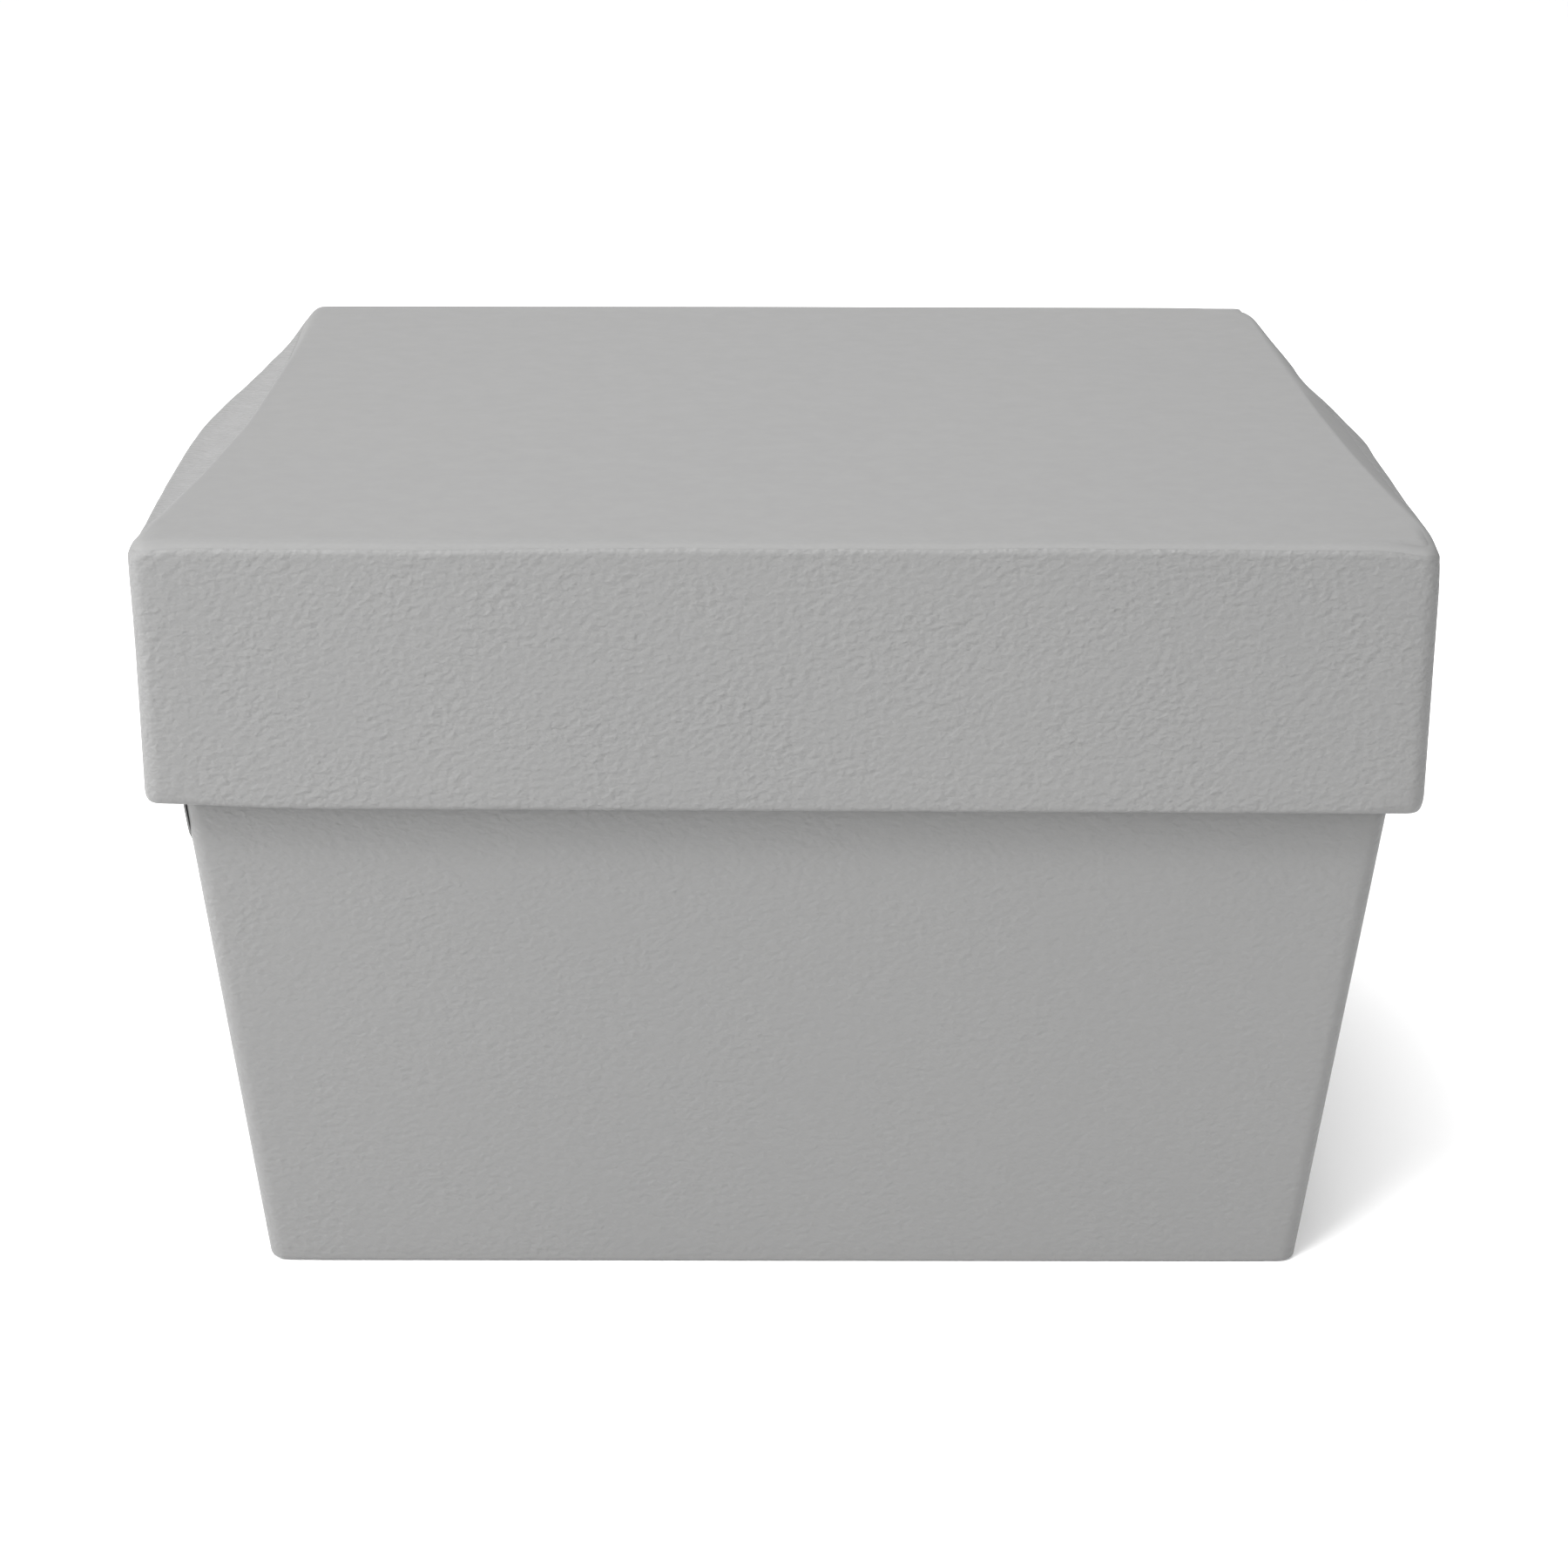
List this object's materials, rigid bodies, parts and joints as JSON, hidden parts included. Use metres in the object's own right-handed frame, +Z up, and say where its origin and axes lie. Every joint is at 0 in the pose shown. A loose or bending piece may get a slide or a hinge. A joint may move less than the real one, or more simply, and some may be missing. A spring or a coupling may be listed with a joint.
{
  "type": "archival box",
  "caption": "Rigid archival storage box: tapered tray with a deep lift-off lid, covered in grained grey paper and lined inside.",
  "frame": {"origin": "middle of the tray's resting face, directly below the middle of the lid's four corners", "axes": "+Z up; the front is -Y; +X to the right when looking at the front"},
  "size_m": [0.3425, 0.338, 0.2115],
  "materials": {
    "grained_cover_lid": "grained matt",
    "grained_cover_tray": "grained matt",
    "foot_sheet": "matt",
    "greyboard": "raw",
    "stay_paper": "matt",
    "lining_paper": "matt"
  },
  "bodies": {
    "tray": {"tray_base_board": "greyboard", "tray_front_board": "greyboard", "tray_back_board": "greyboard", "tray_left_board": "greyboard", "tray_right_board": "greyboard", "tray_corner_stays": "stay_paper", "tray_front_cover": "grained_cover_tray", "tray_back_cover": "grained_cover_tray", "tray_left_cover": "grained_cover_tray", "tray_right_cover": "grained_cover_tray", "tray_base_sheet": "foot_sheet", "tray_wall_lining": "lining_paper", "tray_base_lining": "lining_paper"},
    "lid": {"lid_top_board": "greyboard", "lid_front_board": "greyboard", "lid_back_board": "greyboard", "lid_left_board": "greyboard", "lid_right_board": "greyboard", "lid_corner_stays": "stay_paper", "lid_top_cover": "grained_cover_lid", "lid_skirt_cover": "grained_cover_lid", "lid_top_lining": "lining_paper", "lid_skirt_lining": "lining_paper"}
  },
  "joints": [
    {"name": "lid_lift", "type": "slide", "parent": "tray", "child": "lid", "axis": [0, 0, 1], "range_m": [0, 0.22]}
  ]
}
